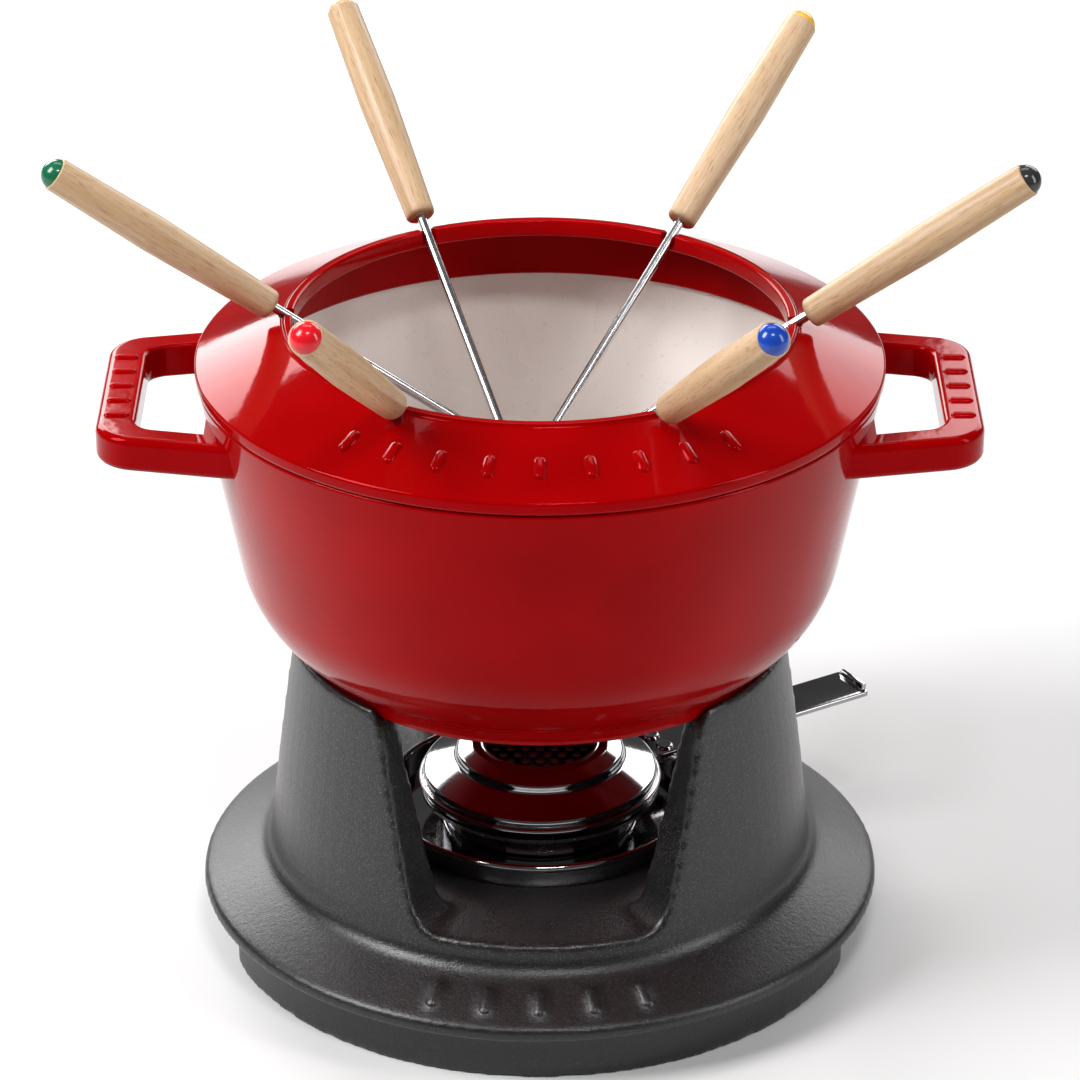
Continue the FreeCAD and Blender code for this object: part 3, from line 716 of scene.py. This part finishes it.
def gripCorners():
    base = fork["reach"]
    end = base + fork["length"]
    swell = base + fork["length"] * fork["swell"]
    hole = fork["shaftRadius"] + fork["fit"]
    stem = fork["stemRadius"] + fork["fit"]
    return [
        (0, base + fork["tang"], 0),
        (hole, base + fork["tang"], 0),
        (hole, base, fork["holeRound"]),
        (fork["endRadius"], base, fork["endRound"]),
        (fork["middleRadius"], swell, fork["middleRound"]),
        (fork["tipRadius"], end, fork["tipRound"]),
        (stem, end, 0),
        (stem, end - fork["stemLength"], 0),
        (0, end - fork["stemLength"], 0),
    ]


def forkPlace(index):
    # turns a grip made upright to lie along its fork
    along = forkAxis(index)
    level = Vector((-along.y, along.x, 0)).normalized()
    across = along.cross(level)
    turn = Matrix((level, across, along)).transposed().to_4x4()
    return Matrix.Translation(notchPlace(index)) @ turn


def markGrain(piece, seed):
    # local coordinates are kept as an attribute, so that the grain follows the grip
    attribute = piece.data.attributes.new("grain", "FLOAT_VECTOR", "POINT")
    shift = seed * Vector(fork["grainShift"])
    for vertex, value in zip(piece.data.vertices, attribute.data):
        value.vector = vertex.co + shift


def makeGrips():
    pattern = lathe("forkGrip_1", gripCorners(), fork["steps"], segments=5)
    grips = [pattern]
    for index in range(1, fork["count"]):
        makeActive(pattern)
        bpy.ops.object.duplicate()
        copy = bpy.context.object
        copy.name = f"forkGrip_{index + 1}"
        grips.append(copy)
    for index, grip in enumerate(grips):
        markGrain(grip, index + 1)
        makeActive(grip)
        grip.matrix_world = forkPlace(index)
        bpy.ops.object.transform_apply(location=True, rotation=True, scale=True)
        body = f"fork_{index + 1}"
        finishPiece(grip, wood, body, "handle_wood", f"{body}_handle")
        paint(f"{body}_shaft", satinSteel)
        paint(f"{body}_button", domes[index + 1])
    return grips


splashRing = makeRing()
ringBeads = makeRingBeads()
forkGrips = makeGrips()
print("forks made")

for node in ("burner_tray", "burner_cup", "burner_hood", "burner_retainer", "burner_rivets"):
    paint(node, chrome)
for node in ("burner_regulator", "burner_gauze"):
    paint(node, satinSteel)
paint("burner_wadding", wadding)

lever = {
    "azimuth": radians(32.0),
    "start": 39.2 * mm,
    "end": 121.0 * mm,
    "width": 16.5 * mm,
    "sheet": 1.6 * mm,
    "lip": 1.8 * mm,
    "corner": 2.0 * mm,
    "cornerCut": 1.4 * mm,
    "edge": 0.25 * mm,
}


def makeLever():
    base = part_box("burner_lever")[0].z
    length = lever["end"] - lever["start"]
    deselectAll()
    bpy.ops.mesh.primitive_cube_add(
        size=1, location=((lever["start"] + lever["end"]) / 2, 0, base + lever["sheet"] / 2),
        scale=(length, lever["width"], lever["sheet"]))
    piece = bpy.context.object
    piece.name = "burnerLever"
    bpy.ops.object.transform_apply(location=True, rotation=True, scale=True)
    bpy.ops.object.mode_set(mode="EDIT")
    lipFrom = lever["end"] - lever["sheet"]
    lipSide = lever["width"] / 2 - lever["corner"]
    cuts = [((lipFrom, 0, 0), (1, 0, 0)), ((0, lipSide, 0), (0, 1, 0)), ((0, -lipSide, 0), (0, 1, 0))]
    for spot, facing in cuts:
        bpy.ops.mesh.select_all(action="SELECT")
        bpy.ops.mesh.bisect(plane_co=spot, plane_no=facing)
    bpy.ops.object.mode_set(mode="OBJECT")
    pick(piece.data.polygons, "FACE", lambda face: (
        face.normal.z > 0.9 and face.center.x > lipFrom and abs(face.center.y) < lipSide))
    bpy.ops.mesh.extrude_region_move(TRANSFORM_OT_translate={"value": (0, 0, lever["lip"])})
    bpy.ops.object.mode_set(mode="OBJECT")

    def stripCorner(edge):
        ends = [piece.data.vertices[i].co for i in edge.vertices]
        upright = abs(ends[0].z - ends[1].z) > 0.5 * mm
        return upright and all(min(end.x - lever["start"], lever["end"] - end.x) < 0.1 * mm
                               and abs(end.y) > lever["width"] / 2 - 0.1 * mm for end in ends)

    pick(piece.data.edges, "EDGE", stripCorner)
    bpy.ops.mesh.bevel(offset=lever["cornerCut"], segments=4, affect="EDGES")
    bpy.ops.mesh.select_all(action="SELECT")
    bpy.ops.mesh.remove_doubles(threshold=0.002 * mm)
    bpy.ops.mesh.normals_make_consistent(inside=False)
    bpy.ops.object.mode_set(mode="OBJECT")
    soften = piece.modifiers.new("edges", "BEVEL")
    soften.width = lever["edge"]
    soften.segments = 3
    soften.angle_limit = radians(40)
    bpy.ops.object.modifier_apply(modifier="edges")
    piece.rotation_euler = (0, 0, lever["azimuth"])
    bpy.ops.object.transform_apply(location=False, rotation=True, scale=False)
    bpy.ops.object.shade_smooth_by_angle(angle=radians(35))
    finishPiece(piece, chrome, "regulator", "polished_steel", "burner_lever")
    return piece


burnerLever = makeLever()
print("burner made")


# the studio stands outside the object: a pale floor, soft light and the camera
def makeFloor():
    deselectAll()
    bpy.ops.mesh.primitive_plane_add(size=12, location=(0, 2, 0))
    floor = bpy.context.object
    floor.name = "studioFloor"
    graph = Graph("paleFloor")
    cloud = graph.noise(graph.place(), 0.6, 2.0)
    floor.data.materials.append(graph.surface({
        "Base Color": graph.mix(cloud, (0.70, 0.70, 0.70), (0.72, 0.72, 0.72)),
        "Roughness": 0.75 + 0.1 * cloud,
        "Specular IOR Level": 0.2,
    }))


def makeSoftbox(name, place, target, width, height, power):
    light = bpy.data.lights.new(name, "AREA")
    light.shape = "RECTANGLE"
    light.size = width
    light.size_y = height
    light.energy = power
    holder = bpy.data.objects.new(name, light)
    bpy.context.scene.collection.objects.link(holder)
    holder.location = place
    holder.rotation_euler = (Vector(target) - Vector(place)).to_track_quat("-Z", "Y").to_euler()


def makeWorld(strength):
    world = bpy.data.worlds.new("studioWorld")
    world.use_nodes = True
    backdrop = world.node_tree.nodes["Background"]
    backdrop.inputs["Color"].default_value = (1, 1, 1, 1)
    backdrop.inputs["Strength"].default_value = strength
    bpy.context.scene.world = world


camera = {
    "place": (0, -1.345, 0.796),
    "pitch": radians(63.68),
    "lens": 163.1,
    "sensor": 36,
    "clip": 30,
}
softboxes = {
    "backLeft": ((-0.75, 1.35, 0.8), (-0.1, 0.1, 0.18), 1.0, 0.7, 17),
    "backRight": ((0.72, 1.35, 0.8), (0.1, 0.1, 0.18), 1.0, 0.7, 9),
    "keyLeft": ((-1.0, -0.35, 1.15), (0, 0, 0.12), 0.55, 0.75, 23),
    "stripRight": ((1.1, -0.45, 0.65), (0, 0, 0.12), 0.26, 0.9, 6),
    "frontHigh": ((0.15, -0.85, 1.55), (0, 0, 0.1), 0.4, 0.16, 8),
    "floorWash": ((0.0, 1.0, 2.1), (0, 0.8, 0), 1.4, 0.7, 11),
}


def makeCamera():
    view = bpy.data.cameras.new("camera")
    view.lens = camera["lens"]
    view.sensor_width = camera["sensor"]
    view.clip_end = camera["clip"]
    view.dof.use_dof = False
    holder = bpy.data.objects.new("camera", view)
    bpy.context.scene.collection.objects.link(holder)
    holder.location = camera["place"]
    holder.rotation_euler = (camera["pitch"], 0, 0)
    bpy.context.scene.camera = holder


makeFloor()
makeWorld(0.08)
# each softbox has its place, what it faces, its width and height in metres and its watts
for name, values in softboxes.items():
    makeSoftbox(name, *values)
makeCamera()
print("studio made")
